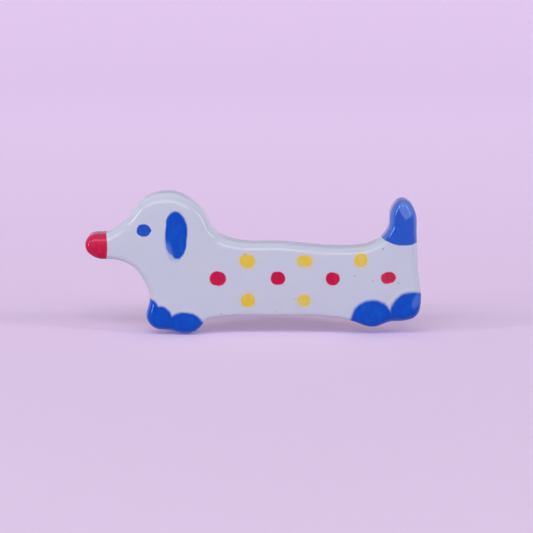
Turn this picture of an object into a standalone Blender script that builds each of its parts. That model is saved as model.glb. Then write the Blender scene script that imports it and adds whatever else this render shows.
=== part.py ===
"""Ceramic dachshund brooch: a glazed stoneware slab with a safety-lock bar pin on its back.

Run it with Blender 4.5: blender --background --python part.py
Units are metres. +X runs from the nose to the tail, +Z is up the dog, and the painted face looks
towards -Y. The origin is the middle of the bar's rear face, which the cloth lies against.
"""

import math

import bmesh
import bpy
from mathutils import Matrix, Vector

MM = 0.001

# Driving dimensions
BODY_THICKNESS = 5.5 * MM
FRONT_RIM_RADIUS = 1.5 * MM
BACK_RIM_RADIUS = 0.5 * MM
MATING_GAP = 0.05 * MM

BAR_LENGTH = 32.0 * MM
BAR_WIDTH = 5.0 * MM
BAR_THICKNESS = 0.8 * MM
BAR_CORNER_RADIUS = 2.0 * MM
GLUE_HOLE_RADIUS = 1.0 * MM
GLUE_HOLE_OFFSET = 7.0 * MM

BED_THICKNESS = 0.5 * MM
BED_MARGIN = 0.8 * MM
PLUG_RECESS = 0.1 * MM

STEM_HEIGHT = 2.7 * MM
STEM_RADIUS = 0.42 * MM
STEM_TAPER = 4.0 * MM
STEM_TIP_RADIUS = 0.06 * MM
STEM_TIP_X = 15.4 * MM

HINGE_X = -13.6 * MM
BARREL_RADIUS = 1.15 * MM
BARREL_LENGTH = 3.0 * MM
BARREL_BORE_RADIUS = 0.56 * MM
EAR_RADIUS = 1.4 * MM
EAR_THICKNESS = 0.6 * MM
EAR_HOLE_RADIUS = 0.53 * MM
RIVET_RADIUS = 0.5 * MM
RIVET_HEAD_RADIUS = 0.9 * MM
RIVET_HEAD_HEIGHT = 0.35 * MM

CATCH_X = 12.0 * MM
HOUSING_LENGTH = 3.2 * MM
HOUSING_BORE_RADIUS = 1.75 * MM
HOUSING_RADIUS = 2.35 * MM
HOUSING_LIP_HEIGHT = 0.7 * MM
HOUSING_FOOT_WIDTH = 3.0 * MM

LOCK_BORE_RADIUS = 0.8 * MM
LOCK_COLLAR_RADIUS = 2.0 * MM
LOCK_COLLAR_LENGTH = 0.4 * MM
LOCK_SLOT_WIDTH = 1.1 * MM
LOCK_TAB_ANGLE = math.radians(47.0)
LOCK_TAB_REACH = 3.9 * MM
LOCK_TAB_THICKNESS = 0.9 * MM
LOCK_TAB_LENGTH = 2.4 * MM

# The dog's outline in millimetres: x from the nose tip, z from the lowest paw
OUTLINE_ORIGIN = (32.0, 11.0)
NOSE = [(0.0, 16.0), (1.2, 17.8), (4.1, 18.3)]
CROWN = [(7.1, 20.4), (10.4, 24.3), (14.0, 25.6), (18.0, 24.8), (21.2, 22.0)]
NECK = [(23.0, 18.9), (25.4, 17.2)]
BACK = [(35.0, 16.5), (46.5, 15.7), (51.6, 16.5)]
TAIL = [(54.1, 18.9), (54.6, 22.5), (56.7, 24.4), (58.8, 22.5), (59.2, 18.0)]
RUMP = [(59.6, 11.0), (60.1, 6.0)]
REAR_PAWS = [(59.3, 3.3), (56.9, 2.4), (54.6, 2.3), (51.4, 1.3), (48.0, 2.4)]
BELLY = [(44.0, 3.2), (34.0, 3.4), (24.5, 3.2)]
FRONT_PAWS = [(21.6, 2.5), (20.2, 0.9), (17.8, 0.0), (15.2, 0.7), (12.6, 1.0), (10.9, 2.8)]
CHEST = [(11.3, 6.3), (10.5, 9.8), (8.4, 12.5)]
JAW = [(5.2, 13.7), (2.0, 13.9)]
OUTLINE = NOSE + CROWN + NECK + BACK + TAIL + RUMP + REAR_PAWS + BELLY + FRONT_PAWS + CHEST + JAW
OUTLINE_STEPS = 4

# Values that follow from the driving dimensions
LAP = 0.2 * MM
ROUND_STEPS = 32
BAR_FRONT_Y = -BAR_THICKNESS
BED_REAR_Y = BAR_FRONT_Y - MATING_GAP
BED_FRONT_Y = BED_REAR_Y - BED_THICKNESS
BODY_REAR_Y = BED_FRONT_Y - MATING_GAP
BODY_MIDDLE_Y = BODY_REAR_Y - BODY_THICKNESS / 2
EAR_INNER_Z = BARREL_LENGTH / 2 + MATING_GAP
EAR_OUTER_Z = EAR_INNER_Z + EAR_THICKNESS
LOCK_RADIUS = HOUSING_BORE_RADIUS - MATING_GAP
LOCK_LENGTH = HOUSING_LENGTH + 2 * (MATING_GAP + LOCK_COLLAR_LENGTH)
HINGE_POINT = Vector((HINGE_X, STEM_HEIGHT, 0.0))
CATCH_POINT = Vector((CATCH_X, STEM_HEIGHT, 0.0))
ALONG_X = Matrix.Rotation(math.pi / 2, 4, "Y")
ALONG_Y = Matrix.Rotation(-math.pi / 2, 4, "X")
ALONG_Z = Matrix.Identity(4)
Y_AXIS, Z_AXIS = 1, 2


def clear_scene():
    """Remove every object that the file was opened with."""
    for old in list(bpy.data.objects):
        bpy.data.objects.remove(old, do_unlink=True)


def new_collection(name):
    """A collection of the scene, with this name."""
    collection = bpy.data.collections.new(name)
    bpy.context.scene.collection.children.link(collection)
    return collection


def make_material(name, colour, roughness, metallic):
    """A Principled material."""
    material = bpy.data.materials.new(name)
    material.use_nodes = True
    shader = material.node_tree.nodes["Principled BSDF"]
    shader.inputs["Base Color"].default_value = (*colour, 1.0)
    shader.inputs["Roughness"].default_value = roughness
    shader.inputs["Metallic"].default_value = metallic
    return material


def make_object(name, mesh, collection, place=ALONG_Z):
    """An object for this mesh, with its own transform in place."""
    thing = bpy.data.objects.new(name, mesh)
    collection.objects.link(thing)
    thing.matrix_world = place
    return thing


def mesh_from(builder, name):
    """A new mesh from a bmesh that is filled by a function."""
    mesh = bpy.data.meshes.new(name)
    work = bmesh.new()
    builder(work)
    work.to_mesh(mesh)
    work.free()
    return mesh


def box(name, size, centre, collection):
    """A box of this size, with its scale already in its mesh."""
    def fill(work):
        bmesh.ops.create_cube(work, size=1.0, matrix=Matrix.Diagonal((*size, 1.0)))
    return make_object(name, mesh_from(fill, name), collection, Matrix.Translation(centre))


def cylinder(name, radius, length, centre, direction, collection):
    """A closed cylinder round an axis."""
    def fill(work):
        bmesh.ops.create_cone(work, cap_ends=True, segments=ROUND_STEPS,
                              radius1=radius, radius2=radius, depth=length)
    place = Matrix.Translation(centre) @ direction
    return make_object(name, mesh_from(fill, name), collection, place)


def turned(name, profile, closed, centre, direction, collection):
    """A turned solid from (radius, height) points that run down its outer side."""
    mesh = bpy.data.meshes.new(name)
    edges = [(i, i + 1) for i in range(len(profile) - 1)]
    if closed:
        edges.append((len(profile) - 1, 0))
    mesh.from_pydata([(radius, 0.0, height) for radius, height in profile], edges, [])
    thing = make_object(name, mesh, collection, Matrix.Translation(centre) @ direction)
    screw = thing.modifiers.new("Turn", "SCREW")
    screw.steps = ROUND_STEPS
    screw.render_steps = ROUND_STEPS
    screw.use_merge_vertices = True
    screw.merge_threshold = 0.000001
    return thing


def combine(target, tools, operation):
    """Join or cut the target with each tool, by Boolean modifiers that stay on it."""
    for tool in tools:
        step = target.modifiers.new(operation.title() + " " + tool.name, "BOOLEAN")
        step.operation = operation
        step.solver = "EXACT"
        step.object = tool
        tool.hide_render = True
        tool.display_type = "WIRE"


def round_edges(block, axis, radius, only_high=None):
    """Round a box's edges that run along one axis, or only those high up another axis."""
    weight = block.data.attributes.new("bevel_weight_edge", "FLOAT", "EDGE")
    for edge in block.data.edges:
        start, end = (block.data.vertices[i].co for i in edge.vertices)
        runs_along = abs((end - start).normalized()[axis]) > 0.9
        if runs_along and (only_high is None or start[only_high] > 0.0):
            weight.data[edge.index].value = 1.0
    corner = block.modifiers.new("Round corners", "BEVEL")
    corner.limit_method = "WEIGHT"
    corner.width = radius
    corner.segments = 6


def finish(thing, material, pivot=None):
    """Give a part its material, move its origin to its pivot, and shade its round sides smooth."""
    if pivot is not None:
        shift = thing.matrix_world.inverted() @ Matrix.Translation(pivot)
        thing.data.transform(shift.inverted())
        thing.matrix_world = Matrix.Translation(pivot)
    thing.data.materials.append(material)
    thing.data.shade_smooth()
    thing.data.set_sharp_from_angle(angle=math.radians(35.0))


def outline_mesh(points, half_depth):
    """A flat plate with this smooth closed outline, as a welded mesh with one face on each side."""
    curve = bpy.data.curves.new("outline", "CURVE")
    curve.dimensions = "2D"
    curve.fill_mode = "BOTH"
    curve.extrude = half_depth
    curve.resolution_u = OUTLINE_STEPS
    spline = curve.splines.new("BEZIER")
    spline.bezier_points.add(len(points) - 1)
    for knot, (x, z) in zip(spline.bezier_points, points):
        knot.co = ((x - OUTLINE_ORIGIN[0]) * MM, (z - OUTLINE_ORIGIN[1]) * MM, 0.0)
        knot.handle_left_type = "AUTO"
        knot.handle_right_type = "AUTO"
    spline.use_cyclic_u = True
    holder = bpy.data.objects.new("outline", curve)
    bpy.context.scene.collection.objects.link(holder)
    depsgraph = bpy.context.evaluated_depsgraph_get()
    mesh = bpy.data.meshes.new_from_object(holder.evaluated_get(depsgraph))
    bpy.data.objects.remove(holder, do_unlink=True)

    work = bmesh.new()
    work.from_mesh(mesh)
    bmesh.ops.remove_doubles(work, verts=work.verts, dist=0.000001)
    for side in (1.0, -1.0):
        cap = [face for face in work.faces if face.normal.z * side > 0.9]
        bmesh.ops.dissolve_faces(work, faces=cap)
    bmesh.ops.recalc_face_normals(work, faces=work.faces)
    work.to_mesh(mesh)
    work.free()
    return mesh


def make_ceramic_body(parts):
    """The fired slab: the dog's outline with a soft front rim and a small back rim."""
    mesh = outline_mesh(OUTLINE, BODY_THICKNESS / 2)
    work = bmesh.new()
    work.from_mesh(mesh)
    weight = work.edges.layers.float.new("bevel_weight_edge")
    for edge in work.edges:
        caps = [face for face in edge.link_faces if abs(face.normal.z) > 0.9]
        if caps:
            is_front = caps[0].normal.z > 0.0
            edge[weight] = 1.0 if is_front else BACK_RIM_RADIUS / FRONT_RIM_RADIUS
    work.to_mesh(mesh)
    work.free()
    upright = Matrix.Rotation(math.pi / 2, 4, "X")
    place = Matrix.Translation((0.0, BODY_MIDDLE_Y, 0.0)) @ upright
    body = make_object("ceramic_body", mesh, parts, place)
    rim = body.modifiers.new("Glaze rim", "BEVEL")
    rim.limit_method = "WEIGHT"
    rim.width = FRONT_RIM_RADIUS
    rim.segments = 4
    rim.use_clamp_overlap = False
    finish(body, make_material("white glaze", (0.75, 0.77, 0.82), 0.12, 0.0))


def make_adhesive_bed(parts, cutters):
    """The cured epoxy between the slab and the bar, with the two plugs that rise into its holes."""
    size = (BAR_LENGTH + 2 * BED_MARGIN, BED_THICKNESS, BAR_WIDTH + 2 * BED_MARGIN)
    bed = box("adhesive_bed", size, (0.0, (BED_FRONT_Y + BED_REAR_Y) / 2, 0.0), parts)
    round_edges(bed, Y_AXIS, BAR_CORNER_RADIUS + BED_MARGIN)
    plugs = []
    for side in (-1, 1):
        low, high = BED_REAR_Y - LAP, -PLUG_RECESS
        centre = (side * GLUE_HOLE_OFFSET, (low + high) / 2, 0.0)
        radius = GLUE_HOLE_RADIUS - MATING_GAP
        plugs.append(cylinder("plug", radius, high - low, centre, ALONG_Y, cutters))
    combine(bed, plugs, "UNION")
    finish(bed, make_material("clear epoxy", (0.72, 0.68, 0.55), 0.25, 0.0))


def make_pin_bar(parts, cutters):
    """The plated bar: a strip with two glue holes, two hinge ears and the open catch housing."""
    middle = (0.0, BAR_FRONT_Y / 2, 0.0)
    bar = box("pin_bar", (BAR_LENGTH, BAR_THICKNESS, BAR_WIDTH), middle, parts)
    round_edges(bar, Y_AXIS, BAR_CORNER_RADIUS)

    ears, ear_holes = [], []
    ear_top = STEM_HEIGHT + EAR_RADIUS
    for side in (-1, 1):
        ear_z = side * (EAR_INNER_Z + EAR_THICKNESS / 2)
        ear = box("ear", (2 * EAR_RADIUS, ear_top + LAP, EAR_THICKNESS),
                  (HINGE_X, (ear_top - LAP) / 2, ear_z), cutters)
        round_edges(ear, Z_AXIS, 0.98 * EAR_RADIUS, only_high=Y_AXIS)
        ears.append(ear)
        ear_holes.append(cylinder("ear hole", EAR_HOLE_RADIUS, 2 * EAR_THICKNESS,
                                  (HINGE_X, STEM_HEIGHT, ear_z), ALONG_Z, cutters))

    foot_top = STEM_HEIGHT - HOUSING_BORE_RADIUS - LAP
    foot_size = (HOUSING_LENGTH - LAP, foot_top + LAP, HOUSING_FOOT_WIDTH)
    foot = box("housing foot", foot_size, (CATCH_X, (foot_top - LAP) / 2, 0.0), cutters)
    housing = cylinder("housing", HOUSING_RADIUS, HOUSING_LENGTH, CATCH_POINT, ALONG_X, cutters)

    bore = cylinder("housing bore", HOUSING_BORE_RADIUS, 2 * HOUSING_LENGTH, CATCH_POINT,
                    ALONG_X, cutters)
    mouth_size = (2 * HOUSING_LENGTH, 2 * HOUSING_RADIUS, 3 * HOUSING_RADIUS)
    mouth_y = STEM_HEIGHT + HOUSING_LIP_HEIGHT + mouth_size[1] / 2
    mouth = box("housing mouth", mouth_size, (CATCH_X, mouth_y, 0.0), cutters)
    glue_holes = [cylinder("glue hole", GLUE_HOLE_RADIUS, 3 * BAR_THICKNESS,
                           (side * GLUE_HOLE_OFFSET, BAR_FRONT_Y / 2, 0.0), ALONG_Y, cutters)
                  for side in (-1, 1)]

    combine(bar, ears + [foot, housing], "UNION")
    combine(bar, ear_holes + [bore, mouth] + glue_holes, "DIFFERENCE")
    finish(bar, make_material("nickel plate", (0.62, 0.61, 0.58), 0.25, 1.0))


def make_hinge_rivet(parts):
    """The rivet through both ears: a shaft with a domed head at each end."""
    under = EAR_OUTER_Z + MATING_GAP
    top = under + RIVET_HEAD_HEIGHT
    shoulder = under + 0.4 * RIVET_HEAD_HEIGHT
    dome = [(0.0, top), (0.6 * RIVET_HEAD_RADIUS, top - 0.1 * RIVET_HEAD_HEIGHT),
            (RIVET_HEAD_RADIUS, shoulder), (RIVET_HEAD_RADIUS, under), (RIVET_RADIUS, under)]
    foot = [(radius, -height) for radius, height in reversed(dome)]
    rivet = turned("hinge_rivet", dome + foot, False, HINGE_POINT, ALONG_Z, parts)
    finish(rivet, make_material("rivet steel", (0.55, 0.54, 0.52), 0.3, 1.0))


def make_pin_stem(parts, cutters):
    """The pin: an eye that turns on the rivet, and a wire that tapers to a point."""
    eye = cylinder("pin_stem", BARREL_RADIUS, BARREL_LENGTH, HINGE_POINT, ALONG_Z, parts)
    start = (BARREL_RADIUS + BARREL_BORE_RADIUS) / 2
    reach = STEM_TIP_X - HINGE_X
    profile = [(0.0, reach), (STEM_TIP_RADIUS, reach - STEM_TIP_RADIUS),
               (STEM_RADIUS, reach - STEM_TAPER), (STEM_RADIUS, start), (0.0, start)]
    wire = turned("wire", profile, False, HINGE_POINT, ALONG_X, cutters)
    hole = cylinder("eye bore", BARREL_BORE_RADIUS, 2 * BARREL_LENGTH, HINGE_POINT,
                    ALONG_Z, cutters)
    combine(eye, [wire], "UNION")
    combine(eye, [hole], "DIFFERENCE")
    finish(eye, make_material("spring steel", (0.6, 0.6, 0.6), 0.2, 1.0), HINGE_POINT)


def make_safety_lock(parts, cutters):
    """The turning lock: a slotted sleeve with an end collar on each side and a thumb tab."""
    end = LOCK_LENGTH / 2
    inner = end - LOCK_COLLAR_LENGTH
    profile = [(LOCK_BORE_RADIUS, end), (LOCK_COLLAR_RADIUS, end), (LOCK_COLLAR_RADIUS, inner),
               (LOCK_RADIUS, inner), (LOCK_RADIUS, -inner), (LOCK_COLLAR_RADIUS, -inner),
               (LOCK_COLLAR_RADIUS, -end), (LOCK_BORE_RADIUS, -end)]
    lock = turned("safety_lock", profile, True, CATCH_POINT, ALONG_X, parts)

    slot_size = (2 * LOCK_LENGTH, 2 * LOCK_COLLAR_RADIUS, LOCK_SLOT_WIDTH)
    slot_centre = CATCH_POINT + Vector((0.0, LOCK_COLLAR_RADIUS, 0.0))
    slot = box("lock slot", slot_size, slot_centre, cutters)

    root = (LOCK_BORE_RADIUS + LOCK_RADIUS) / 2
    tab_size = (LOCK_TAB_LENGTH, LOCK_TAB_REACH - root, LOCK_TAB_THICKNESS)
    tab = box("lock tab", tab_size, (0.0, 0.0, 0.0), cutters)
    lean = Matrix.Rotation(-LOCK_TAB_ANGLE, 4, "X")
    out = Matrix.Translation((0.0, (LOCK_TAB_REACH + root) / 2, 0.0))
    tab.matrix_world = Matrix.Translation(CATCH_POINT) @ lean @ out

    combine(lock, [slot], "DIFFERENCE")
    combine(lock, [tab], "UNION")
    finish(lock, make_material("lock plate", (0.66, 0.65, 0.62), 0.22, 1.0))


def main():
    clear_scene()
    parts = new_collection("ceramic_dog_brooch")
    cutters = new_collection("cutters")
    make_ceramic_body(parts)
    make_adhesive_bed(parts, cutters)
    make_pin_bar(parts, cutters)
    make_hinge_rivet(parts)
    make_pin_stem(parts, cutters)
    make_safety_lock(parts, cutters)


main()
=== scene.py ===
# %% [markdown]
# # A ceramic dachshund brooch
# The object is a flat slab of clay cut to the outline of a long, low dog. It is fired, dipped in white
# glaze, painted with a brush and glued to a bar pin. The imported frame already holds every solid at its
# real size, and its moving parts hang on their joints. This lesson gives each piece the surface that
# hands and a kiln leave. Lengths are in metres, or in millimetres where MM multiplies them later. +X runs
# from the nose to the tail, +Z is up, and the painted face looks towards -Y.

# %% Load the frame
import math

import bmesh
import bpy
import numpy as np
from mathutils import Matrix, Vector, noise
from mathutils.kdtree import KDTree


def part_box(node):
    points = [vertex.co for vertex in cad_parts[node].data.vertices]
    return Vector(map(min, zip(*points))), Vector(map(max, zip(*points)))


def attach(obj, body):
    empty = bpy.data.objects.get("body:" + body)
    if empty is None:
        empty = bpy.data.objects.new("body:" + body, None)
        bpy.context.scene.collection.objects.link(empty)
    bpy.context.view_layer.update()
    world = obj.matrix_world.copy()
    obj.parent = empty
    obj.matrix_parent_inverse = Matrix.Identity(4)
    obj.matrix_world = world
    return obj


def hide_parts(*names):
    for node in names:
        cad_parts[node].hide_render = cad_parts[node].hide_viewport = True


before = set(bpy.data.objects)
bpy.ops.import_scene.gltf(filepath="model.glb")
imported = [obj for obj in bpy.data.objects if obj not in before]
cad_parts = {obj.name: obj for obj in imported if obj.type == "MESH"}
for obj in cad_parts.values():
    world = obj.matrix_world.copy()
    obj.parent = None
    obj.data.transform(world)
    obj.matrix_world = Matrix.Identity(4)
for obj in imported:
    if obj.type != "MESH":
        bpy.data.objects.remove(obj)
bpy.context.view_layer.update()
MM = 0.001
bpy.context.scene.view_settings.view_transform = "Standard"

# %% [markdown]
# ## The slab's outline
# A potter rolls the clay flat and cuts round a paper pattern, so everything about the body starts from
# one closed line. The frame's body already has that line. We could type its points again, but slicing the
# frame's solid with a plane gives the same line and can't drift away from it. The cut has corners where
# the solid has facets. We space the points evenly and average each with its neighbours, which is what a
# damp sponge does to a cut edge. Then two pushes of a thumb, about a quarter of a millimetre each, lift the
# tip of the nose and press in the chest.

# %% Slice the body and soften the line
body_low, body_high = (Vector(corner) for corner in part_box("ceramic_body"))
OUTLINE_COUNT = 760
SPONGE_REACH = 2
THUMB_PUSHES = {
    "nose": ((-31.2, 7.0), 1.5, (-0.12, 0.2)),
    "chest": ((-20.8, -4.3), 2.4, (0.25, 0.0)),
}


def sliced_line(node, depth):
    """The closed line, as x and z, where an upright plane cuts a node."""
    work = bmesh.new()
    work.from_mesh(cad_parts[node].data)
    bmesh.ops.remove_doubles(work, verts=work.verts, dist=0.001 * MM)
    everything = work.verts[:] + work.edges[:] + work.faces[:]
    bmesh.ops.bisect_plane(work, geom=everything, dist=0.0001 * MM, plane_co=(0.0, depth, 0.0),
                           plane_no=(0.0, 1.0, 0.0), clear_inner=True, clear_outer=True)
    work.verts.ensure_lookup_table()
    line = [work.verts[0]]
    edge = line[0].link_edges[0]
    while edge.other_vert(line[-1]) is not line[0]:
        line.append(edge.other_vert(line[-1]))
        edge = next(other for other in line[-1].link_edges if other is not edge)
    points = np.array([(vert.co.x, vert.co.z) for vert in line])
    work.free()
    ahead = np.roll(points, -1, axis=0)
    turns_left = np.sum(points[:, 0] * ahead[:, 1] - ahead[:, 0] * points[:, 1]) > 0.0
    return points if turns_left else points[::-1]


def spaced_evenly(points, count):
    """The same closed line with its points at equal steps."""
    closed = np.vstack([points, points[:1]])
    steps = np.linalg.norm(np.diff(closed, axis=0), axis=1)
    travelled = np.concatenate([[0.0], np.cumsum(steps)])
    stops = np.linspace(0.0, travelled[-1], count, endpoint=False)
    return np.column_stack([np.interp(stops, travelled, closed[:, axis]) for axis in (0, 1)])


def sponged(values, reach):
    """Each value of a closed run averaged with its neighbours, the near ones counting most."""
    shifts = np.arange(-3 * reach, 3 * reach + 1)
    weights = np.exp(-0.5 * (shifts / reach) ** 2)
    weights /= weights.sum()
    return sum(weight * np.roll(values, shift, axis=0) for weight, shift in zip(weights, shifts))


middle_depth = (body_low.y + body_high.y) / 2
outline = sponged(spaced_evenly(sliced_line("ceramic_body", middle_depth), OUTLINE_COUNT), SPONGE_REACH)
for (place_x, place_z), reach, push in THUMB_PUSHES.values():
    away = np.hypot(outline[:, 0] - place_x * MM, outline[:, 1] - place_z * MM)
    outline += np.exp(-((away / (reach * MM)) ** 2))[:, None] * np.array(push) * MM
tangents = np.roll(outline, -1, axis=0) - np.roll(outline, 1, axis=0)
tangents /= np.linalg.norm(tangents, axis=1)[:, None]
inward = np.column_stack([-tangents[:, 1], tangents[:, 0]])
outline_tree = KDTree(OUTLINE_COUNT)
for index, (x, z) in enumerate(outline):
    outline_tree.insert((x, 0.0, z), index)
outline_tree.balance()
line_length = np.linalg.norm(np.roll(outline, -1, axis=0) - outline, axis=1).sum()
print("outline", OUTLINE_COUNT, "points,", round(line_length / MM, 1), "mm round")

# %% [markdown]
# ## The rim
# Glaze pulls back from a sharp edge and pools beside it, so the rim of the face is fat and round. It is
# roundest along the back and the crown, where the wet glaze ran down into the face, and tight under the
# belly. The nose and tail are almost round bars. A Bevel modifier keeps one width unless every point is
# given a weight. We sweep a rim profile instead: every point of the line carries its own radius, and the
# rings of points are joined by faces. Where the dog is narrow, the radius stops short of the middle, so
# that the two sides never cross. A remesh then turns the long thin faces into small even ones, which the
# relief needs.

# %% Choose a rim radius for every point of the line
FACE_SINK = 0.35 * MM
TOP_RIM = 1.5 * MM
SIDE_RIM = 1.2 * MM
BELLY_RIM = 0.65 * MM
REAR_RIM = 0.38 * MM
ROUNDER_PLACES = {
    "nose": ((-30.5, 5.2), 4.0, 1.2),
    "forehead": ((-23.5, 10.0), 5.0, 2.0),
    "crown": ((-16.0, 13.5), 7.5, 2.25),
    "neck": ((-9.6, 6.6), 2.0, 2.5),
    "tail": ((24.7, 10.5), 5.5, 2.2),
    "front paws": ((-16.5, -9.5), 4.5, 1.5),
    "rear paws": ((24.0, -8.0), 5.5, 1.5),
}
ROOM_SEARCH = 3.0 * MM
ROOM_STEP = 0.1 * MM
ROOM_SHARE = 0.9
RADIUS_SPONGE = 6


def room_inside(points, directions, farthest, step):
    """How far each point can move inwards before another part of the line is nearer."""
    clearly_nearer = 0.97
    room = np.full(len(points), farthest)
    for index, (point, direction) in enumerate(zip(points, directions)):
        for distance in np.arange(step, farthest, step):
            x, z = point + direction * distance
            nearest = outline_tree.find((x, 0.0, z))[2]
            if nearest < clearly_nearer * distance:
                room[index] = distance
                break
    return room


upward = -inward[:, 1]
rim_radius = SIDE_RIM + (TOP_RIM - SIDE_RIM) * np.clip(upward, 0.0, 1.0)
rim_radius += (BELLY_RIM - SIDE_RIM) * np.clip(-upward, 0.0, 1.0)
for (place_x, place_z), reach, radius in ROUNDER_PLACES.values():
    away = np.hypot(outline[:, 0] - place_x * MM, outline[:, 1] - place_z * MM)
    pull = np.exp(-((away / (reach * MM)) ** 2))
    rim_radius += pull * np.maximum(radius * MM - rim_radius, 0.0)


def eased(radius):
    """Rim radii made small enough that the innermost ring never folds back on itself."""
    smallest_step = 0.12
    shrink = 0.93
    most_tries = 60
    steps = np.roll(outline, -1, axis=0) - np.roll(outline, 1, axis=0)
    for _ in range(most_tries):
        ring = outline + inward * radius[:, None]
        ring_steps = np.roll(ring, -1, axis=0) - np.roll(ring, 1, axis=0)
        folded = np.sum(ring_steps * steps, axis=1) < smallest_step * np.sum(steps * steps, axis=1)
        if not folded.any():
            break
        radius = sponged(np.where(folded, shrink * radius, radius), 1)
    print(int(folded.sum()), "folded points left in the inner ring")
    return radius


room = room_inside(outline, inward, ROOM_SEARCH, ROOM_STEP)
rim_radius = eased(sponged(np.minimum(rim_radius, ROOM_SHARE * room), RADIUS_SPONGE))
print("rim radius from", round(rim_radius.min() / MM, 2), "to", round(rim_radius.max() / MM, 2), "mm")

# %% Sweep the rim and close both faces
RIM_STEPS = 12
BACK_STEPS = 5


def rim_rings():
    """Rings of points from the edge of the face, over the rim, down the side and round to the back."""
    face_y = body_low.y + FACE_SINK
    rings = []
    for turn in np.linspace(math.pi / 2, 0.0, RIM_STEPS):
        inset = rim_radius * (1.0 - math.cos(turn))
        rings.append((inset, face_y + rim_radius * (1.0 - math.sin(turn))))
    back = np.minimum(REAR_RIM, 0.8 * rim_radius)
    for turn in np.linspace(0.0, math.pi / 2, BACK_STEPS):
        rings.append((back * (1.0 - math.cos(turn)), body_high.y - back * (1.0 - math.sin(turn))))
    return rings


def swept_slab(name):
    """The closed slab, as a mesh of rings with one flat face in front and one behind."""
    work = bmesh.new()
    rings = []
    for inset, depth in rim_rings():
        places = outline + inward * inset[:, None]
        depths = np.broadcast_to(depth, (OUTLINE_COUNT,))
        rings.append([work.verts.new((x, y, z)) for (x, z), y in zip(places, depths)])
    for near, far in zip(rings, rings[1:]):
        for i in range(OUTLINE_COUNT):
            j = (i + 1) % OUTLINE_COUNT
            work.faces.new((near[i], near[j], far[j], far[i]))
    work.faces.new(rings[0])
    work.faces.new(rings[-1])
    bmesh.ops.recalc_face_normals(work, faces=work.faces)
    bmesh.ops.triangulate(work, faces=[face for face in work.faces if len(face.verts) > 4])
    mesh = bpy.data.meshes.new(name)
    work.to_mesh(mesh)
    work.free()
    return mesh


def linked_object(name, data):
    """A new object in the scene."""
    thing = bpy.data.objects.new(name, data)
    bpy.context.scene.collection.objects.link(thing)
    return thing


def apply_modifiers(thing):
    """Make what an object's modifiers give into its own mesh."""
    depsgraph = bpy.context.evaluated_depsgraph_get()
    made = bpy.data.meshes.new_from_object(thing.evaluated_get(depsgraph))
    thing.modifiers.clear()
    thing.data = made


VOXEL = 0.25 * MM
glazed_dog = linked_object("glazed_dog", swept_slab("glazed_dog"))
remesh = glazed_dog.modifiers.new("Even clay", "REMESH")
remesh.mode = "VOXEL"
remesh.voxel_size = VOXEL
settle = glazed_dog.modifiers.new("Settle", "SMOOTH")
settle.factor = 0.5
settle.iterations = 4
apply_modifiers(glazed_dog)
print("glazed dog", len(glazed_dog.data.polygons), "faces")

# %% [markdown]
# ## The relief
# No hand-made face is flat. The glaze stands highest in the middle of the body, the head swells a little,
# the paws are small pads with a dip between each pair, and the surface rolls gently where fingers pressed
# it. We could make this as bump in the material, but then the outline and the long reflections would stay
# dead straight. So the points of the mesh itself are moved towards the viewer by a height that is worked
# out from where they lie. The hand's slow waves move them along their normals, and fade out before the
# back, which stays flat.

# %% Raise the face
DOME_HEIGHT = 0.2 * MM
DOME_REACH = 2.6 * MM
PAD_HEIGHT = 0.34 * MM
PADS = [((-18.6, -8.1), (2.9, 3.2)), ((-13.9, -8.9), (3.3, 2.5)),
        ((19.4, -7.4), (3.6, 3.1)), ((25.6, -5.9), (3.3, 3.4))]
SWELLS = {
    "head": ((-15.5, 7.0), (7.0, 6.0), 0.12),
    "dip between the front paws": ((-16.5, -8.4), (0.8, 3.0), -0.16),
    "dip between the rear paws": ((22.3, -7.0), (0.8, 3.2), -0.2),
}
WAVE_HEIGHT = 0.045 * MM
WAVE_LENGTH = 5.0 * MM
SHORT_WAVES = 0.4
FLAT_BACK_DEPTH = 1.5 * MM


def swell(points, centre, reach):
    """A smooth hill, 1 at its centre, over points given as x and z."""
    offset = (points - np.array(centre) * MM) / (np.array(reach) * MM)
    return np.exp(-np.sum(offset ** 2, axis=1))


def pad(points, centre, reach):
    """A rounded pad with a clear edge, 1 at its centre and 0 past its reach."""
    offset = (points - np.array(centre) * MM) / (np.array(reach) * MM)
    return np.clip(1.0 - np.sum(offset ** 2, axis=1), 0.0, 1.0) ** 0.8


def hand_waves(places, length, seed):
    """Slow, uneven waves through space, between about -1 and 1."""
    shift = Vector((seed, 0.5 * seed, 0.0))
    return np.array([noise.noise(Vector(place) / length + shift) for place in places])


count = len(glazed_dog.data.vertices)
places = np.empty(count * 3)
normals = np.empty(count * 3)
glazed_dog.data.vertices.foreach_get("co", places)
glazed_dog.data.vertex_normals.foreach_get("vector", normals)
places, normals = places.reshape(-1, 3), normals.reshape(-1, 3)
flat = places[:, [0, 2]]
from_edge = np.array([outline_tree.find((x, 0.0, z))[2] for x, z in flat])

height = DOME_HEIGHT * (1.0 - np.exp(-((from_edge / DOME_REACH) ** 2)))
height += PAD_HEIGHT * np.max([pad(flat, *place) for place in PADS], axis=0)
for centre, reach, rise in SWELLS.values():
    height += rise * MM * swell(flat, centre, reach)
facing = np.clip(-normals[:, 1], 0.0, 1.0) ** 1.5
places[:, 1] -= height * facing
back_guard = np.clip((body_high.y - places[:, 1]) / FLAT_BACK_DEPTH, 0.0, 1.0)
waves = hand_waves(places, WAVE_LENGTH, 3.0)
waves += SHORT_WAVES * hand_waves(places, SHORT_WAVES * WAVE_LENGTH, 8.0)
places += normals * (WAVE_HEIGHT * waves * back_guard)[:, None]
places = np.clip(places, np.array(body_low), np.array(body_high))
glazed_dog.data.vertices.foreach_set("co", places.ravel())
glazed_dog.data.update()
glazed_dog.data.shade_smooth()
print("face rises", round(float((height * facing).max()) / MM, 2), "mm at most")

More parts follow.
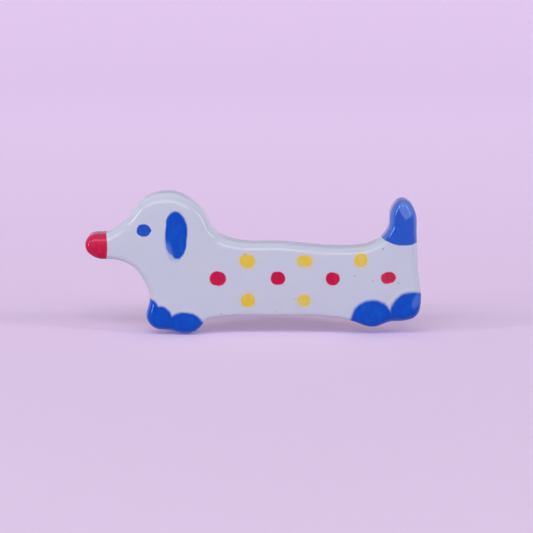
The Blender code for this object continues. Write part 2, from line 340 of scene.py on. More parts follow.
# %% [markdown]
# ## Writing a surface as nodes
# Every finish below is procedural: its colours and masks are worked out by nodes, and no picture is
# loaded. Writing each node out would take four or five lines, so a few helpers keep it readable. One
# starts a material, some do arithmetic on sockets or numbers, and one blends two colours by a mask. Every
# finish works in millimetres of object space, so a brush mark stays where it was painted when the brooch
# or the camera moves.

# %% Small helpers for node materials
def new_finish(name):
    """A material with its node tree, its shader and a point in millimetres."""
    finish = bpy.data.materials.new(name)
    finish.use_nodes = True
    tree = finish.node_tree
    shader = tree.nodes["Principled BSDF"]
    place = tree.nodes.new("ShaderNodeTexCoord")
    point = tree.nodes.new("ShaderNodeVectorMath")
    point.operation = "SCALE"
    point.inputs["Scale"].default_value = 1.0 / MM
    tree.links.new(place.outputs["Object"], point.inputs[0])
    return finish, tree, shader, point.outputs[0]


def feed(tree, socket, value):
    """Join a socket to another, or set it to a number, a vector or a colour."""
    if isinstance(value, bpy.types.NodeSocket):
        tree.links.new(value, socket)
    else:
        socket.default_value = value


def sums(tree, operation, *values):
    """One Math node."""
    node = tree.nodes.new("ShaderNodeMath")
    node.operation = operation
    for socket, value in zip(node.inputs, values):
        feed(tree, socket, value)
    return node.outputs[0]


def vectors(tree, operation, *values):
    """One Vector Math node that gives a vector."""
    node = tree.nodes.new("ShaderNodeVectorMath")
    node.operation = operation
    for socket, value in zip(node.inputs, values):
        feed(tree, socket, value)
    return node.outputs[0]


def ramped(tree, value, low, high, out_low=0.0, out_high=1.0):
    """A smooth step from one value to another."""
    node = tree.nodes.new("ShaderNodeMapRange")
    node.interpolation_type = "SMOOTHSTEP"
    for name, number in (("Value", value), ("From Min", low), ("From Max", high),
                         ("To Min", out_low), ("To Max", out_high)):
        feed(tree, node.inputs[name], number)
    return node.outputs["Result"]


def speckle(tree, point, scale, detail=2.0, stretch=None, roughness=0.5):
    """A Noise texture's value, with its scale in waves per millimetre."""
    if stretch is not None:
        point = vectors(tree, "MULTIPLY", point, stretch)
    node = tree.nodes.new("ShaderNodeTexNoise")
    node.inputs["Scale"].default_value = scale
    node.inputs["Detail"].default_value = detail
    node.inputs["Roughness"].default_value = roughness
    tree.links.new(point, node.inputs["Vector"])
    return node.outputs[0]


def blended(tree, mask, under, over):
    """Two colours mixed by a mask."""
    node = tree.nodes.new("ShaderNodeMix")
    node.data_type = "RGBA"
    feed(tree, node.inputs["Factor"], mask)
    feed(tree, node.inputs["A"], under)
    feed(tree, node.inputs["B"], over)
    return next(socket for socket in node.outputs if socket.type == "RGBA")


def strongest(tree, first, others):
    """The highest of several masks, taken one after another."""
    result = first
    for other in others:
        result = sums(tree, "MAXIMUM", result, other)
    return result


def raised(tree, height, depth):
    """A Bump node whose height of 1 stands this many metres proud."""
    node = tree.nodes.new("ShaderNodeBump")
    node.inputs["Distance"].default_value = depth
    tree.links.new(height, node.inputs["Height"])
    return node.outputs["Normal"]


# %% [markdown]
# ## A dab of the brush
# Each dot is one touch of a loaded brush, and the eye, the ear and the paws are a few touches that
# overlap. Every touch is a rounded patch with an uneven edge. A painted picture could hold them all, but
# it would go soft up close. So a node group measures how far a point is from the middle of a leaning,
# slightly square ellipse. The point is shaken by noise first, which makes the edge wander as wet colour
# does. The group is made once and used for every dab, with its own numbers each time.

# %% Make the brush
def make_brush():
    """A node group that gives 1 inside a dab and 0 outside it."""
    group = bpy.data.node_groups.new("Brush dab", "ShaderNodeTree")
    for name in ("Point", "Centre", "Half size"):
        group.interface.new_socket(name, in_out="INPUT", socket_type="NodeSocketVector")
    for name in ("Lean", "Squareness", "Softness", "Strength"):
        group.interface.new_socket(name, in_out="INPUT", socket_type="NodeSocketFloat")
    group.interface.new_socket("Mask", in_out="OUTPUT", socket_type="NodeSocketFloat")
    given = group.nodes.new("NodeGroupInput").outputs
    offset = vectors(group, "SUBTRACT", given["Point"], given["Centre"])
    turn = group.nodes.new("ShaderNodeVectorRotate")
    turn.rotation_type = "Y_AXIS"
    group.links.new(offset, turn.inputs["Vector"])
    group.links.new(given["Lean"], turn.inputs["Angle"])
    scaled = vectors(group, "DIVIDE", turn.outputs[0], given["Half size"])
    parts = group.nodes.new("ShaderNodeSeparateXYZ")
    group.links.new(scaled, parts.inputs[0])
    powers = [sums(group, "POWER", sums(group, "ABSOLUTE", parts.outputs[axis]), given["Squareness"])
              for axis in ("X", "Z")]
    total = sums(group, "ADD", *powers)
    reach = sums(group, "POWER", total, sums(group, "DIVIDE", 1.0, given["Squareness"]))
    outer = sums(group, "ADD", 1.0, given["Softness"])
    inner = sums(group, "SUBTRACT", 1.0, given["Softness"])
    inside = ramped(group, reach, outer, inner)
    mask = sums(group, "MULTIPLY", inside, given["Strength"])
    result = group.nodes.new("NodeGroupOutput")
    group.links.new(mask, result.inputs["Mask"])
    return group


brush = make_brush()


def dab(tree, point, centre, half_size, lean=0.0, squareness=2.2, softness=0.09, strength=1.0):
    """One touch of the brush on the face, with its sizes in millimetres and its lean in degrees."""
    node = tree.nodes.new("ShaderNodeGroup")
    node.node_tree = brush
    tree.links.new(point, node.inputs["Point"])
    node.inputs["Centre"].default_value = (centre[0], 0.0, centre[1])
    node.inputs["Half size"].default_value = (half_size[0], 1.0, half_size[1])
    node.inputs["Lean"].default_value = math.radians(lean)
    node.inputs["Squareness"].default_value = squareness
    node.inputs["Softness"].default_value = softness
    node.inputs["Strength"].default_value = strength
    return node.outputs["Mask"]


# %% [markdown]
# ## The painted glaze
# The white is a thick, glossy, slightly blue glaze. The marks lie in it and are melted to the same gloss.
# They could be separate skins over the white, but skins would show an edge that melted colour doesn't
# have. So one material carries them all. Blue covers the tail, the ear, the eye and the paws. It is thin
# at the foot of the ear, where the brush left it. Elsewhere its paler blue is painted reflection and
# highlight: along the rims, where thin glaze adds to it, over the tail and at its tip, on one rear paw
# and under the paws. Red covers the nose, and a painted highlight lightens its top. The rims and sides
# of the white are painted paler and bluer, a painted light. The dots run in three rows along the body,
# with a faint wash round the yellow ones. The back was stood on the kiln shelf, so the clay is bare and
# matt there.
#
# Two settings need a reason. A pale room mirrored in the gloss would wash the deep blue and the red out,
# so the reflection takes on a little of the mark's own colour. The bump leaves the brush marks out, because
# the renderer works out a bump's height three times, and with every mark in it the body came out black.

# %% Set the colours and the marks
WHITE_GLAZE = (0.508, 0.566, 0.622, 1.0)
# Painted light: the rims and sides of the white are paler and bluer than the face, standing in for the pale
# sky caught on the rim.
PAINTED_RIM_LIGHT = (0.66, 0.745, 0.83, 1.0)
DEEP_BLUE = (0.0, 0.06, 0.45, 1.0)
THIN_BLUE = (0.001, 0.088, 0.485, 1.0)
# Paler blue: painted reflection of the pale room on the rims, the tail and the soles, with thin glaze at
# the rims as well.
SHEEN_AND_THIN_BLUE = (0.10, 0.20, 0.58, 1.0)
DEEP_RED = (0.485, 0.002, 0.038, 1.0)
THIN_RED = (0.56, 0.016, 0.06, 1.0)
# A lighter red for the top of the nose: a painted highlight.
PAINTED_LIT_RED = (0.62, 0.045, 0.10, 1.0)
DEEP_YELLOW = (0.68, 0.505, 0.03, 1.0)
THIN_YELLOW = (0.66, 0.56, 0.17, 1.0)
DARK_SPECK = (0.12, 0.12, 0.15, 1.0)
CLOUDY_WHITE = (0.50, 0.556, 0.648, 1.0)
DARK_CLAY = (0.74, 0.67, 0.58, 1.0)
PALE_CLAY = (0.88, 0.84, 0.77, 1.0)
SCORCHED_CLAY = (0.68, 0.54, 0.41, 1.0)
CLAY_GRIT = (0.27, 0.20, 0.15, 1.0)
CLEAR_MIRROR = (1.0, 1.0, 1.0, 1.0)
BLUE_MIRROR = (0.4, 0.8, 1.0, 1.0)
RED_MIRROR = (1.0, 0.5, 0.85, 1.0)

EYE = [dict(centre=(-21.45, 8.05), half_size=(1.22, 1.12), strength=0.98),
       dict(centre=(-20.65, 8.0), half_size=(0.6, 0.55), squareness=2.0, strength=0.98)]
EAR = [dict(centre=(-15.65, 7.2), half_size=(1.97, 3.85), lean=-1.0, squareness=2.5),
       dict(centre=(-15.8, 8.5), half_size=(1.7, 2.95), squareness=2.2),
       dict(centre=(-15.3, 6.0), half_size=(1.5, 3.1), lean=-5.0, squareness=2.2),
       dict(centre=(-16.4, 5.1), half_size=(1.1, 2.3), lean=14.0, softness=0.45, strength=0.5)]
FRONT_PAW = [dict(centre=(-18.7, -9.0), half_size=(2.45, 3.4), squareness=2.1),
             dict(centre=(-20.9, -7.0), half_size=(2.3, 2.6), softness=0.12),
             dict(centre=(-14.2, -9.6), half_size=(3.5, 2.85), lean=-4.0, squareness=2.0, softness=0.11)]
REAR_PAW = [dict(centre=(19.3, -8.6), half_size=(3.9, 4.1), squareness=2.0),
            dict(centre=(26.5, -7.2), half_size=(4.1, 4.1), squareness=2.1),
            dict(centre=(22.6, -9.4), half_size=(1.6, 2.2), squareness=2.0)]
RED_DOTS = [dict(centre=(-8.25, -0.65), half_size=(1.48, 1.32)),
            dict(centre=(2.45, -0.6), half_size=(1.27, 1.25)),
            dict(centre=(12.2, -0.65), half_size=(1.27, 1.2)),
            dict(centre=(22.1, -0.5), half_size=(1.35, 1.06), lean=12.0, strength=0.98)]
YELLOW_DOTS = [dict(centre=(-3.0, 2.5), half_size=(1.4, 1.22)),
               dict(centre=(7.2, 2.5), half_size=(1.4, 1.06)),
               dict(centre=(17.2, 2.65), half_size=(1.15, 1.17), squareness=2.6),
               dict(centre=(-2.9, -4.6), half_size=(1.27, 1.26)),
               dict(centre=(7.1, -4.6), half_size=(1.12, 1.08))]
SPECK_PLACES = [((14.3, 5.2), (0.24, 0.17)), ((21.2, 4.7), (0.13, 0.14)), ((16.1, -0.2), (0.11, 0.1)),
                ((19.4, -1.1), (0.2, 0.09)), ((24.0, -1.5), (0.14, 0.1)), ((-7.7, -7.1), (0.13, 0.08)),
                ((2.1, -6.5), (0.14, 0.08)), ((-3.5, 3.75), (0.17, 0.08)), ((5.5, -4.4), (0.08, 0.08)),
                ((11.9, 5.0), (0.1, 0.07))]
SPECKS = [dict(centre=centre, half_size=half_size) for centre, half_size in SPECK_PLACES]
# Pale blue patches: the tail's tip, the top right of a rear paw and both soles are painted reflection and
# highlight; the one at the foot of the ear is thin paint.
THIN_PAINT_AND_SHINE_PATCHES = [dict(centre=(25.5, 12.2), half_size=(1.75, 2.3), lean=-6.0, squareness=1.25, softness=0.12),
                dict(centre=(27.1, -4.7), half_size=(0.6, 1.3), lean=-20.0, softness=0.5, strength=0.55),
                dict(centre=(-16.95, 4.4), half_size=(0.55, 1.35), lean=16.0, softness=0.7, strength=0.75),
                dict(centre=(-13.6, -11.0), half_size=(2.0, 0.7), softness=0.6, strength=0.5),
                dict(centre=(25.8, -9.2), half_size=(2.4, 0.7), lean=-20.0, softness=0.6, strength=0.5)]
NOSE_LINE_X = -27.9
NOSE_MIDDLE_Z = 5.0
NOSE_LINE_BEND = 0.05
TAIL_LINE_Z = 5.3
TAIL_MIDDLE_X = 24.9
TAIL_LINE_BEND = 0.075
TAIL_STARTS_X = (20.4, 21.0)
EDGE_WANDER = (0.42, 0.0, 0.42)
HALO_SPREAD = 1.3
FACE_Y = body_low.y / MM
GLAZE_END_Y = body_high.y / MM
print(len(RED_DOTS + YELLOW_DOTS), "dots,", len(SPECKS), "specks")


# %% Mix the painted glaze
def bent_line(tree, value, middle, bend):
    """How far a brushed line has curved away at a distance from its middle."""
    return sums(tree, "MULTIPLY", sums(tree, "POWER", sums(tree, "SUBTRACT", value, middle), 2.0), bend)


def painted_glaze():
    """The body's one material: white glaze, coloured marks, and bare clay on the back."""
    finish, tree, shader, point = new_finish("painted glaze")
    axes = tree.nodes.new("ShaderNodeSeparateXYZ")
    tree.links.new(point, axes.inputs[0])
    x, y, z = (axes.outputs[axis] for axis in ("X", "Y", "Z"))

    shake = tree.nodes.new("ShaderNodeTexNoise")
    shake.inputs["Scale"].default_value = 0.75
    shake.inputs["Detail"].default_value = 3.0
    tree.links.new(point, shake.inputs["Vector"])
    offset = vectors(tree, "SUBTRACT", shake.outputs["Color"], (0.5, 0.5, 0.5))
    wandering = vectors(tree, "MULTIPLY_ADD", offset, EDGE_WANDER, point)
    wander = tree.nodes.new("ShaderNodeSeparateXYZ")
    tree.links.new(wandering, wander.inputs[0])

    tail_curve = bent_line(tree, x, TAIL_MIDDLE_X, TAIL_LINE_BEND)
    tail_edge = sums(tree, "SUBTRACT", wander.outputs["Z"], tail_curve)
    tail_top = ramped(tree, tail_edge, TAIL_LINE_Z - 0.15, TAIL_LINE_Z + 0.15)
    tail = sums(tree, "MULTIPLY", tail_top, ramped(tree, x, *TAIL_STARTS_X))
    nose_curve = bent_line(tree, z, NOSE_MIDDLE_Z, NOSE_LINE_BEND)
    nose = ramped(tree, sums(tree, "ADD", x, nose_curve), NOSE_LINE_X + 0.1, NOSE_LINE_X - 0.1)

    blue_marks = EYE + EAR + FRONT_PAW + REAR_PAW
    blue = strongest(tree, tail, (dab(tree, wandering, **mark) for mark in blue_marks))
    red = strongest(tree, nose, (dab(tree, wandering, **mark) for mark in RED_DOTS))
    halos = [dict(mark, half_size=[HALO_SPREAD * size for size in mark["half_size"]],
                  softness=0.35, strength=0.22) for mark in YELLOW_DOTS]
    yellow = strongest(tree, 0.0, (dab(tree, wandering, **mark) for mark in YELLOW_DOTS + halos))
    specks = strongest(tree, 0.0, (dab(tree, wandering, softness=0.4, **mark) for mark in SPECKS))

    streaks = speckle(tree, point, 1.4, 3.0, stretch=(1.0, 1.0, 0.35))
    thin = ramped(tree, streaks, 0.42, 0.72, 0.0, 0.6)
    clouds = speckle(tree, point, 0.12, 2.0)
    # Painted light: the white turns paler and bluer from the face back over the rims and sides.
    side = ramped(tree, y, FACE_Y + 0.45, FACE_Y + 1.9)
    white = blended(tree, sums(tree, "MULTIPLY", side, 0.8), WHITE_GLAZE, PAINTED_RIM_LIGHT)
    white = blended(tree, ramped(tree, clouds, 0.35, 0.65, 0.0, 0.35), white, CLOUDY_WHITE)
    colour = blended(tree, yellow, white, blended(tree, thin, DEEP_YELLOW, THIN_YELLOW))
    # Painted highlight: the top of the nose turns lighter red.
    lit_top = ramped(tree, z, 4.6, 6.4, 0.0, 0.5)
    reds = blended(tree, thin, DEEP_RED, THIN_RED)
    reds = blended(tree, sums(tree, "MULTIPLY", lit_top, nose), reds, PAINTED_LIT_RED)
    colour = blended(tree, red, colour, reds)
    # Painted reflection and highlight: the blue grows paler towards the sides, over the whole tail and in
    # the patches; thin glaze at the rims and the ear's thin paint add to it.
    sheen_and_thin = ramped(tree, y, FACE_Y + 0.42, FACE_Y + 1.2, 0.0, 0.9)
    tail_sheen = sums(tree, "MULTIPLY", tail, 0.18)
    sheen_and_thin = sums(tree, "MAXIMUM", sheen_and_thin, tail_sheen)
    sheen_and_thin = strongest(tree, sheen_and_thin, (dab(tree, wandering, **mark) for mark in THIN_PAINT_AND_SHINE_PATCHES))
    blues = blended(tree, sheen_and_thin, blended(tree, thin, DEEP_BLUE, THIN_BLUE), SHEEN_AND_THIN_BLUE)
    colour = blended(tree, blue, colour, blues)
    colour = blended(tree, sums(tree, "MULTIPLY", specks, 0.75), colour, DARK_SPECK)

    ragged = sums(tree, "MULTIPLY_ADD", speckle(tree, point, 0.8, 3.0), 0.4, y)
    bare = ramped(tree, ragged, GLAZE_END_Y, GLAZE_END_Y + 0.12)
    grain = speckle(tree, point, 4.0, 5.0, roughness=0.75)
    clay = blended(tree, ramped(tree, grain, 0.35, 0.65), DARK_CLAY, PALE_CLAY)
    scorch = ramped(tree, speckle(tree, point, 0.22, 3.0), 0.45, 0.7, 0.0, 0.45)
    clay = blended(tree, scorch, clay, SCORCHED_CLAY)
    grit = ramped(tree, speckle(tree, point, 2.2, 2.0), 0.7, 0.76, 0.0, 0.7)
    clay = blended(tree, grit, clay, CLAY_GRIT)
    colour = blended(tree, bare, colour, clay)
    tree.links.new(colour, shader.inputs["Base Color"])

    gloss = ramped(tree, speckle(tree, point, 0.5, 3.0), 0.3, 0.7, 0.09, 0.15)
    rough = ramped(tree, bare, 0.0, 1.0, gloss, 0.82)
    tree.links.new(rough, shader.inputs["Roughness"])
    shader.inputs["Specular IOR Level"].default_value = 0.36
    tint = blended(tree, blue, CLEAR_MIRROR, BLUE_MIRROR)
    tint = blended(tree, red, tint, RED_MIRROR)
    tree.links.new(tint, shader.inputs["Specular Tint"])

    peel = speckle(tree, point, 0.45, 2.0)
    clay_height = sums(tree, "MULTIPLY", grain, 1.6)
    height = ramped(tree, bare, 0.0, 1.0, peel, clay_height)
    tree.links.new(raised(tree, height, 0.03 * MM), shader.inputs["Normal"])
    return finish


glazed_dog.data.materials.clear()
glazed_dog.data.materials.append(painted_glaze())
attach(glazed_dog, "brooch")
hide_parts("ceramic_body")
print("painted", glazed_dog.name)

# %% [markdown]
# ## The cured epoxy
# The bar is pressed into a bed of two-part epoxy. What squeezes out stands round the bar as a
# hollow-cheeked bead, wider in some places than in others, and two plugs rise through the holes and lock
# the bar. A boolean or a fluid simulation could make it, but a swept profile is simpler and repeats
# exactly. The line round the bar is walked once, a curved profile stands at each point of it, and slow
# noise changes the bead's width and height.

# %% Walk round the bar and squeeze out the bead
bar_low, bar_high = (Vector(corner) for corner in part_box("pin_bar"))
BAR_LENGTH = bar_high.x - bar_low.x
BAR_WIDTH = bar_high.z - bar_low.z
BAR_CORNER = 2.0 * MM
BAR_UNDERSIDE = bar_low.y
CLAY_BACK = body_high.y
HOLE_PLACES = (-7.0 * MM, 7.0 * MM)
HOLE_RADIUS = 1.0 * MM
BEAD_COUNT = 260
BEAD_STEPS = 9
BLOBS = [((15.2, 2.1), 1.6, 0.45), ((-6.0, -2.6), 2.6, 0.35), ((4.0, 2.6), 1.8, 0.25)]
UNDER_BAR_REACH = 0.7 * MM
SUNK_IN_CLAY = 0.03 * MM
BAR_GAP = 0.02 * MM
BEAD_LIP = 0.05 * MM
PLUG_PROFILE = [(0.985, -0.9), (0.985, -0.12), (0.93, -0.09), (0.8, -0.13), (0.5, -0.2), (0.2, -0.23)]
PLUG_COUNT = 40


def bar_line():
    """Points round the bar's rounded outline, each with its outward direction."""
    corners = []
    for sign_x, sign_z, start in ((1, 1, 0.0), (-1, 1, 0.5), (-1, -1, 1.0), (1, -1, 1.5)):
        centre_x = sign_x * (BAR_LENGTH / 2 - BAR_CORNER)
        centre_z = sign_z * (BAR_WIDTH / 2 - BAR_CORNER)
        for turn in np.linspace(start, start + 0.5, 16) * math.pi:
            corner_x = centre_x + BAR_CORNER * math.cos(turn)
            corners.append((corner_x, centre_z + BAR_CORNER * math.sin(turn)))
    line = spaced_evenly(np.array(corners), BEAD_COUNT)
    run = np.roll(line, -1, axis=0) - np.roll(line, 1, axis=0)
    run /= np.linalg.norm(run, axis=1)[:, None]
    return line, np.column_stack([run[:, 1], -run[:, 0]])


def bead_sizes(line):
    """How far the bead stands out and how high it climbs at each point."""
    width = np.empty(len(line))
    climb = np.empty(len(line))
    for index, (x, z) in enumerate(line):
        place = Vector((x, 0.0, z)) / MM
        width[index] = 0.78 + 0.26 * noise.noise(place * 0.45) + 0.08 * noise.noise(place * 1.7)
        climb[index] = 0.36 + 0.16 * noise.noise(place * 0.6 + Vector((9.0, 0.0, 0.0)))
        for (blob_x, blob_z), reach, extra in BLOBS:
            near = math.exp(-(((place.x - blob_x) ** 2 + (place.z - blob_z) ** 2) / reach ** 2))
            width[index] += extra * near
    return width * MM, climb * MM


def epoxy_mesh(name):
    """The bed, its bead and both plugs."""
    line, outward = bar_line()
    width, climb = bead_sizes(line)
    under_bar = np.full(BEAD_COUNT, -UNDER_BAR_REACH)
    on_clay = np.full(BEAD_COUNT, CLAY_BACK - SUNK_IN_CLAY)
    rings = [(under_bar, on_clay), (width, on_clay)]
    for turn in np.linspace(0.0, math.pi / 2, BEAD_STEPS):
        reach = BAR_GAP + width * (1.0 - math.sin(turn)) ** 1.15
        depth = CLAY_BACK + (BAR_UNDERSIDE + climb - CLAY_BACK) * (1.0 - math.cos(turn)) ** 0.85
        rings.append((reach, depth))
    rings.append((np.full(BEAD_COUNT, -BEAD_LIP), rings[-1][1] - BAR_GAP))
    rings.append((under_bar, np.full(BEAD_COUNT, BAR_UNDERSIDE - BAR_GAP)))
    work = bmesh.new()
    loops = []
    for reach, depth in rings:
        spots = line + outward * reach[:, None]
        loops.append([work.verts.new((x, y, z)) for (x, z), y in zip(spots, depth)])
    for near, far in zip(loops, loops[1:]):
        for i in range(BEAD_COUNT):
            j = (i + 1) % BEAD_COUNT
            work.faces.new((near[i], near[j], far[j], far[i]))
    work.faces.new(loops[0])
    work.faces.new(loops[-1])
    for hole_x in HOLE_PLACES:
        add_plug(work, hole_x)
    bmesh.ops.recalc_face_normals(work, faces=work.faces)
    mesh = bpy.data.meshes.new(name)
    work.to_mesh(mesh)
    work.free()
    return mesh


def add_plug(work, hole_x):
    """A round plug whose top has sunk a little in the middle, as epoxy does when it cures in a hole."""
    turns = np.linspace(0.0, 2.0 * math.pi, PLUG_COUNT, endpoint=False)
    loops = []
    for share, depth in PLUG_PROFILE:
        radius = share * HOLE_RADIUS
        spots = [(hole_x + radius * math.cos(turn), depth * MM, radius * math.sin(turn)) for turn in turns]
        loops.append([work.verts.new(spot) for spot in spots])
    for near, far in zip(loops, loops[1:]):
        for i in range(PLUG_COUNT):
            j = (i + 1) % PLUG_COUNT
            work.faces.new((near[i], near[j], far[j], far[i]))
    work.faces.new(loops[0])
    work.faces.new(loops[-1])


cured_epoxy = linked_object("cured_epoxy", epoxy_mesh("cured_epoxy"))
cured_epoxy.data.shade_smooth()
print("epoxy bead", BEAD_COUNT, "points round,", len(HOLE_PLACES), "plugs")

# %% [markdown]
# ## Amber, with bubbles
# Cured epoxy is half clear with a yellow tinge, and small bubbles from the stirring stay in it. A glass
# shader would be too clear, so a Principled shader with some transmission lets only part of the clay show
# through. The bubbles could be spheres in the mesh, but they're too small for that. Each is the middle of
# a cell of a Voronoi texture, paler and slightly raised.

# %% Finish the epoxy
PALE_AMBER = (0.90, 0.72, 0.38, 1.0)
DARK_AMBER = (0.78, 0.56, 0.24, 1.0)
AIR_BUBBLE = (0.92, 0.86, 0.70, 1.0)


def amber_epoxy():
    """Slightly clear, slightly yellow, with bubbles and slow ripples."""
    finish, tree, shader, point = new_finish("amber epoxy")
    cloud = speckle(tree, point, 0.5, 3.0)
    tone = blended(tree, ramped(tree, cloud, 0.3, 0.7), PALE_AMBER, DARK_AMBER)
    cells = tree.nodes.new("ShaderNodeTexVoronoi")
    cells.inputs["Scale"].default_value = 2.4
    tree.links.new(point, cells.inputs["Vector"])
    bubbles = ramped(tree, cells.outputs["Distance"], 0.2, 0.12)
    tone = blended(tree, sums(tree, "MULTIPLY", bubbles, 0.6), tone, AIR_BUBBLE)
    tree.links.new(tone, shader.inputs["Base Color"])
    rough = ramped(tree, speckle(tree, point, 1.3, 3.0), 0.3, 0.7, 0.08, 0.22)
    tree.links.new(rough, shader.inputs["Roughness"])
    shader.inputs["Transmission Weight"].default_value = 0.55
    shader.inputs["IOR"].default_value = 1.5
    ripples = sums(tree, "ADD", speckle(tree, point, 0.9, 2.0), sums(tree, "MULTIPLY", bubbles, 0.5))
    tree.links.new(raised(tree, ripples, 0.06 * MM), shader.inputs["Normal"])
    return finish


cured_epoxy.data.materials.append(amber_epoxy())
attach(cured_epoxy, "brooch")
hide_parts("adhesive_bed")
print("epoxy on", cured_epoxy.name)

# %% [markdown]
# ## Broken edges on the metal
# The bar, the rivet, the stem and the lock are small stamped and drawn pieces. Their edges look sharp,
# but each one is a tiny radius left by the tool and the plating, and that radius is what catches the
# light. The frame's solids have true corners. We could model the pieces again, but their shape is right.
# So we take a copy of each, join its loose triangles into flat faces, and bevel every corner sharper than
# a set angle. Where bevels meet they can leave faces with no area, and those are dissolved. A copy is
# used because the frame's own meshes have to stay as they are.

# %% Copy a solid and break its edges
SHARP_CORNER = math.radians(32.0)
SAME_FACE = math.radians(0.5)
WELD = 0.002 * MM
SLIVER = 0.1 * WELD


def edge_broken(name, node, width):
    """A copy of a frame solid with its sharp corners rounded by a small width."""
    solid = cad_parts[node]
    work = bmesh.new()
    work.from_mesh(solid.data)
    bmesh.ops.transform(work, matrix=solid.matrix_world, verts=work.verts)
    bmesh.ops.remove_doubles(work, verts=work.verts, dist=WELD)
    bmesh.ops.dissolve_limit(work, angle_limit=SAME_FACE, verts=work.verts, edges=work.edges)
    corners = [edge for edge in work.edges
               if len(edge.link_faces) == 2 and edge.calc_face_angle() > SHARP_CORNER]
    bmesh.ops.bevel(work, geom=corners, offset=width, segments=2, profile=0.5, affect="EDGES",
                    clamp_overlap=True)
    bmesh.ops.dissolve_degenerate(work, dist=SLIVER, edges=work.edges)
    bmesh.ops.remove_doubles(work, verts=work.verts, dist=SLIVER)
    mesh = bpy.data.meshes.new(name)
    work.to_mesh(mesh)
    work.free()
    if "custom_normal" in mesh.attributes:
        mesh.attributes.remove(mesh.attributes["custom_normal"])
    piece = linked_object(name, mesh)
    mesh.shade_smooth()
    weighted = piece.modifiers.new("Flat faces stay flat", "WEIGHTED_NORMAL")
    weighted.weight = 80
    print(name, len(corners), "corners broken,", len(mesh.polygons), "faces")
    return piece


bar_plate = edge_broken("bar_plate", "pin_bar", 0.07 * MM)
rivet = edge_broken("rivet", "hinge_rivet", 0.12 * MM)
stem = edge_broken("stem_wire", "pin_stem", 0.06 * MM)
lock = edge_broken("lock_sleeve", "safety_lock", 0.07 * MM)

# %% [markdown]
# ## Plated and drawn metal
# The bar and the lock are nickel plated, the stem and the rivet are bare steel. All show the tool that
# made them, as fine lines along the rolled bar and the drawn wire. Metal dulls where fingers and air have
# reached it, and takes small dark pits. Four materials could be written out, but they'd differ only in
# their tints, the direction of their lines and their gloss, so one recipe makes them all.

# %% Mix the metals
METAL_PIT = (0.16, 0.13, 0.10, 1.0)
ALONG_X = (0.06, 1.0, 1.0)
ROUND_X = (0.5, 0.05, 0.05)


def worked_metal(name, bright, dull, grain, gloss):
    """Metal with tool lines, dull clouds and small pits."""
    finish, tree, shader, point = new_finish(name)
    lines = speckle(tree, point, 5.0, 4.0, stretch=grain, roughness=0.65)
    cloud = speckle(tree, point, 0.55, 4.0, roughness=0.6)
    dulled = ramped(tree, cloud, 0.45, 0.68)
    pits = ramped(tree, speckle(tree, point, 4.5, 2.0), 0.69, 0.76)
    colour = blended(tree, ramped(tree, lines, 0.35, 0.7, 0.0, 0.3), bright, dull)
    colour = blended(tree, sums(tree, "MULTIPLY", dulled, 0.55), colour, dull)
    colour = blended(tree, sums(tree, "MULTIPLY", pits, 0.6), colour, METAL_PIT)
    tree.links.new(colour, shader.inputs["Base Color"])
    shader.inputs["Metallic"].default_value = 1.0
    low, high = gloss
    streaked = ramped(tree, lines, 0.3, 0.7, low, (low + high) / 2)
    rough = sums(tree, "ADD", streaked, sums(tree, "MULTIPLY", dulled, (high - low) / 2))
    tree.links.new(rough, shader.inputs["Roughness"])
    depth = sums(tree, "SUBTRACT", lines, sums(tree, "MULTIPLY", pits, 1.5))
    tree.links.new(raised(tree, depth, 0.006 * MM), shader.inputs["Normal"])
    return finish


nickel = worked_metal("nickel plate", bright=(0.74, 0.71, 0.66, 1.0), dull=(0.50, 0.46, 0.40, 1.0),
                      grain=ALONG_X, gloss=(0.2, 0.42))
lock_nickel = worked_metal("lock nickel", bright=(0.78, 0.76, 0.71, 1.0), dull=(0.56, 0.52, 0.46, 1.0),
                           grain=ROUND_X, gloss=(0.16, 0.36))
drawn_steel = worked_metal("drawn steel", bright=(0.80, 0.80, 0.81, 1.0), dull=(0.58, 0.57, 0.57, 1.0),
                           grain=ALONG_X, gloss=(0.12, 0.3))
rivet_steel = worked_metal("rivet steel", bright=(0.66, 0.65, 0.64, 1.0), dull=(0.42, 0.39, 0.36, 1.0),
                           grain=ROUND_X, gloss=(0.22, 0.45))
for piece, finish, body, node, slot in ((bar_plate, nickel, "brooch", "pin_bar", "bar_plate"),
                                        (rivet, rivet_steel, "brooch", "hinge_rivet", "rivet_steel"),
                                        (stem, drawn_steel, "stem", "pin_stem", "stem_steel"),
                                        (lock, lock_nickel, "lock", "safety_lock", "lock_plate")):
    piece.data.materials.clear()
    piece.data.materials.append(finish)
    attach(piece, body)
    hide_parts(node)
print("four metal pieces finished")

# %% [markdown]
# ## The floor and the light
# A small glossy thing shows its room in every rim, so the room is kept plain: a pale paper floor that
# sweeps up into a round wall without a corner. A flat sheet and a bent one could do it, but a turned
# profile makes it in one piece. The floor far behind would fall into shade, so it glows a little, more
# with distance and less with height. One broad soft light in front and above draws the bright line along
# the top rims, and a tall narrow one on each side draws the streaks on the nose, the paws and the tail.

# %% Build the floor and hang the lights
FLOOR_DROP = 0.05 * MM
FLOOR_RADIUS = 0.42
SWEEP_RADIUS = 0.25
WALL_TOP = 0.75
WALL_STEPS = 12
TURN_STEPS = 96
PALE_PAPER = (0.70, 0.577, 0.745, 1.0)
PAPER_FIBRE = (0.66, 0.54, 0.715, 1.0)
WALL_PAPER = (0.64, 0.545, 0.70, 1.0)
GLOW = (0.88, 0.70, 0.98, 1.0)
ROOM = (0.97, 0.96, 1.0, 1.0)
ROOM_LIGHT = 0.34


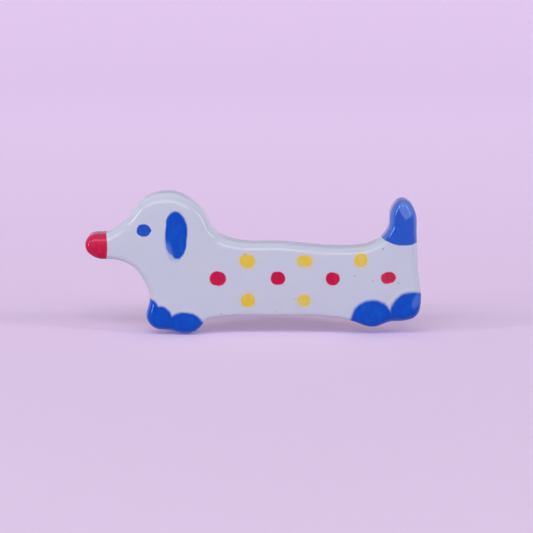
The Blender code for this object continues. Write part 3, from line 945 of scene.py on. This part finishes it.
def paper_floor():
    """A round floor that curves up into a wall, turned about the upright axis."""
    floor_z = body_low.z - FLOOR_DROP
    profile = [(0.0, floor_z), (FLOOR_RADIUS, floor_z)]
    for turn in np.linspace(0.0, math.pi / 2, WALL_STEPS)[1:]:
        profile.append((FLOOR_RADIUS + SWEEP_RADIUS * math.sin(turn),
                        floor_z + SWEEP_RADIUS * (1.0 - math.cos(turn))))
    profile.append((FLOOR_RADIUS + SWEEP_RADIUS, WALL_TOP))
    mesh = bpy.data.meshes.new("paper_floor")
    mesh.from_pydata([(r, 0.0, h) for r, h in profile],
                     [(i, i + 1) for i in range(len(profile) - 1)], [])
    floor = linked_object("paper_floor", mesh)
    turned = floor.modifiers.new("Turn", "SCREW")
    turned.steps = TURN_STEPS
    turned.render_steps = TURN_STEPS
    turned.use_merge_vertices = True
    turned.merge_threshold = 0.0001
    turned.use_smooth_shade = True
    finish, tree, shader, point = new_finish("pale paper")
    fibre = speckle(tree, point, 2.5, 4.0, roughness=0.7)
    axes = tree.nodes.new("ShaderNodeSeparateXYZ")
    tree.links.new(point, axes.inputs[0])
    tone = blended(tree, ramped(tree, fibre, 0.3, 0.7, 0.0, 0.12), PALE_PAPER, PAPER_FIBRE)
    high_up = ramped(tree, axes.outputs["Z"], 20.0, 160.0)
    tone = blended(tree, high_up, tone, WALL_PAPER)
    tree.links.new(tone, shader.inputs["Base Color"])
    shader.inputs["Roughness"].default_value = 0.9
    tree.links.new(raised(tree, fibre, 0.01 * MM), shader.inputs["Normal"])
    behind = ramped(tree, axes.outputs["Y"], -200.0, 350.0, 0.04, 0.44)
    low = ramped(tree, axes.outputs["Z"], 10.0, 165.0, 1.0, 0.0)
    glow = sums(tree, "MULTIPLY", behind, low)
    tree.links.new(glow, shader.inputs["Emission Strength"])
    shader.inputs["Emission Color"].default_value = GLOW
    mesh.materials.append(finish)


def soft_light(name, place, size, watts):
    """A rectangular light that faces the dog."""
    lamp = bpy.data.lights.new(name, "AREA")
    lamp.shape = "RECTANGLE"
    lamp.size, lamp.size_y = size
    lamp.energy = watts
    thing = linked_object(name, lamp)
    thing.location = place
    thing.rotation_euler = (-Vector(place)).to_track_quat("-Z", "Y").to_euler()
    thing.visible_camera = False


paper_floor()
soft_light("high_window", (-0.04, -0.35, 0.35), (0.64, 0.16), 1.14)
soft_light("right_window", (0.38, -0.20, 0.18), (0.08, 0.28), 0.62)
soft_light("left_window", (-0.40, -0.20, 0.14), (0.055, 0.22), 0.68)
world = bpy.data.worlds.new("room")
world.use_nodes = True
background = world.node_tree.nodes["Background"]
background.inputs["Color"].default_value = ROOM
background.inputs["Strength"].default_value = ROOM_LIGHT
bpy.context.scene.world = world
print("paper floor, three windows and the room's own light")

# %% [markdown]
# ## The camera
# The dog is seen square on, from a little above. A short lens close by would swell the middle of the
# body, so a long lens far away keeps the outline true. The distance follows from how much of the
# picture's width the dog should fill.

# %% Place the camera
LENS = 180.0
SENSOR = 36.0
TILT = math.radians(10.0)
DOG_SHARE = 0.630
AIM_OFFSET = Vector((2.35 * MM, 0.0, -0.72 * MM))
NEAREST_SEEN = 0.01
lens = bpy.data.cameras.new("camera")
lens.lens = LENS
lens.sensor_width = SENSOR
camera = linked_object("camera", lens)
dog_width = body_high.x - body_low.x
distance = dog_width / DOG_SHARE * LENS / SENSOR
centre = (body_low + body_high) / 2 + AIM_OFFSET
away = Vector((0.0, -math.cos(TILT), math.sin(TILT)))
camera.location = centre + away * distance
camera.rotation_euler = (-away).to_track_quat("-Z", "Y").to_euler()
lens.clip_start = NEAREST_SEEN
bpy.context.scene.camera = camera
print("camera", round(distance, 3), "m away")
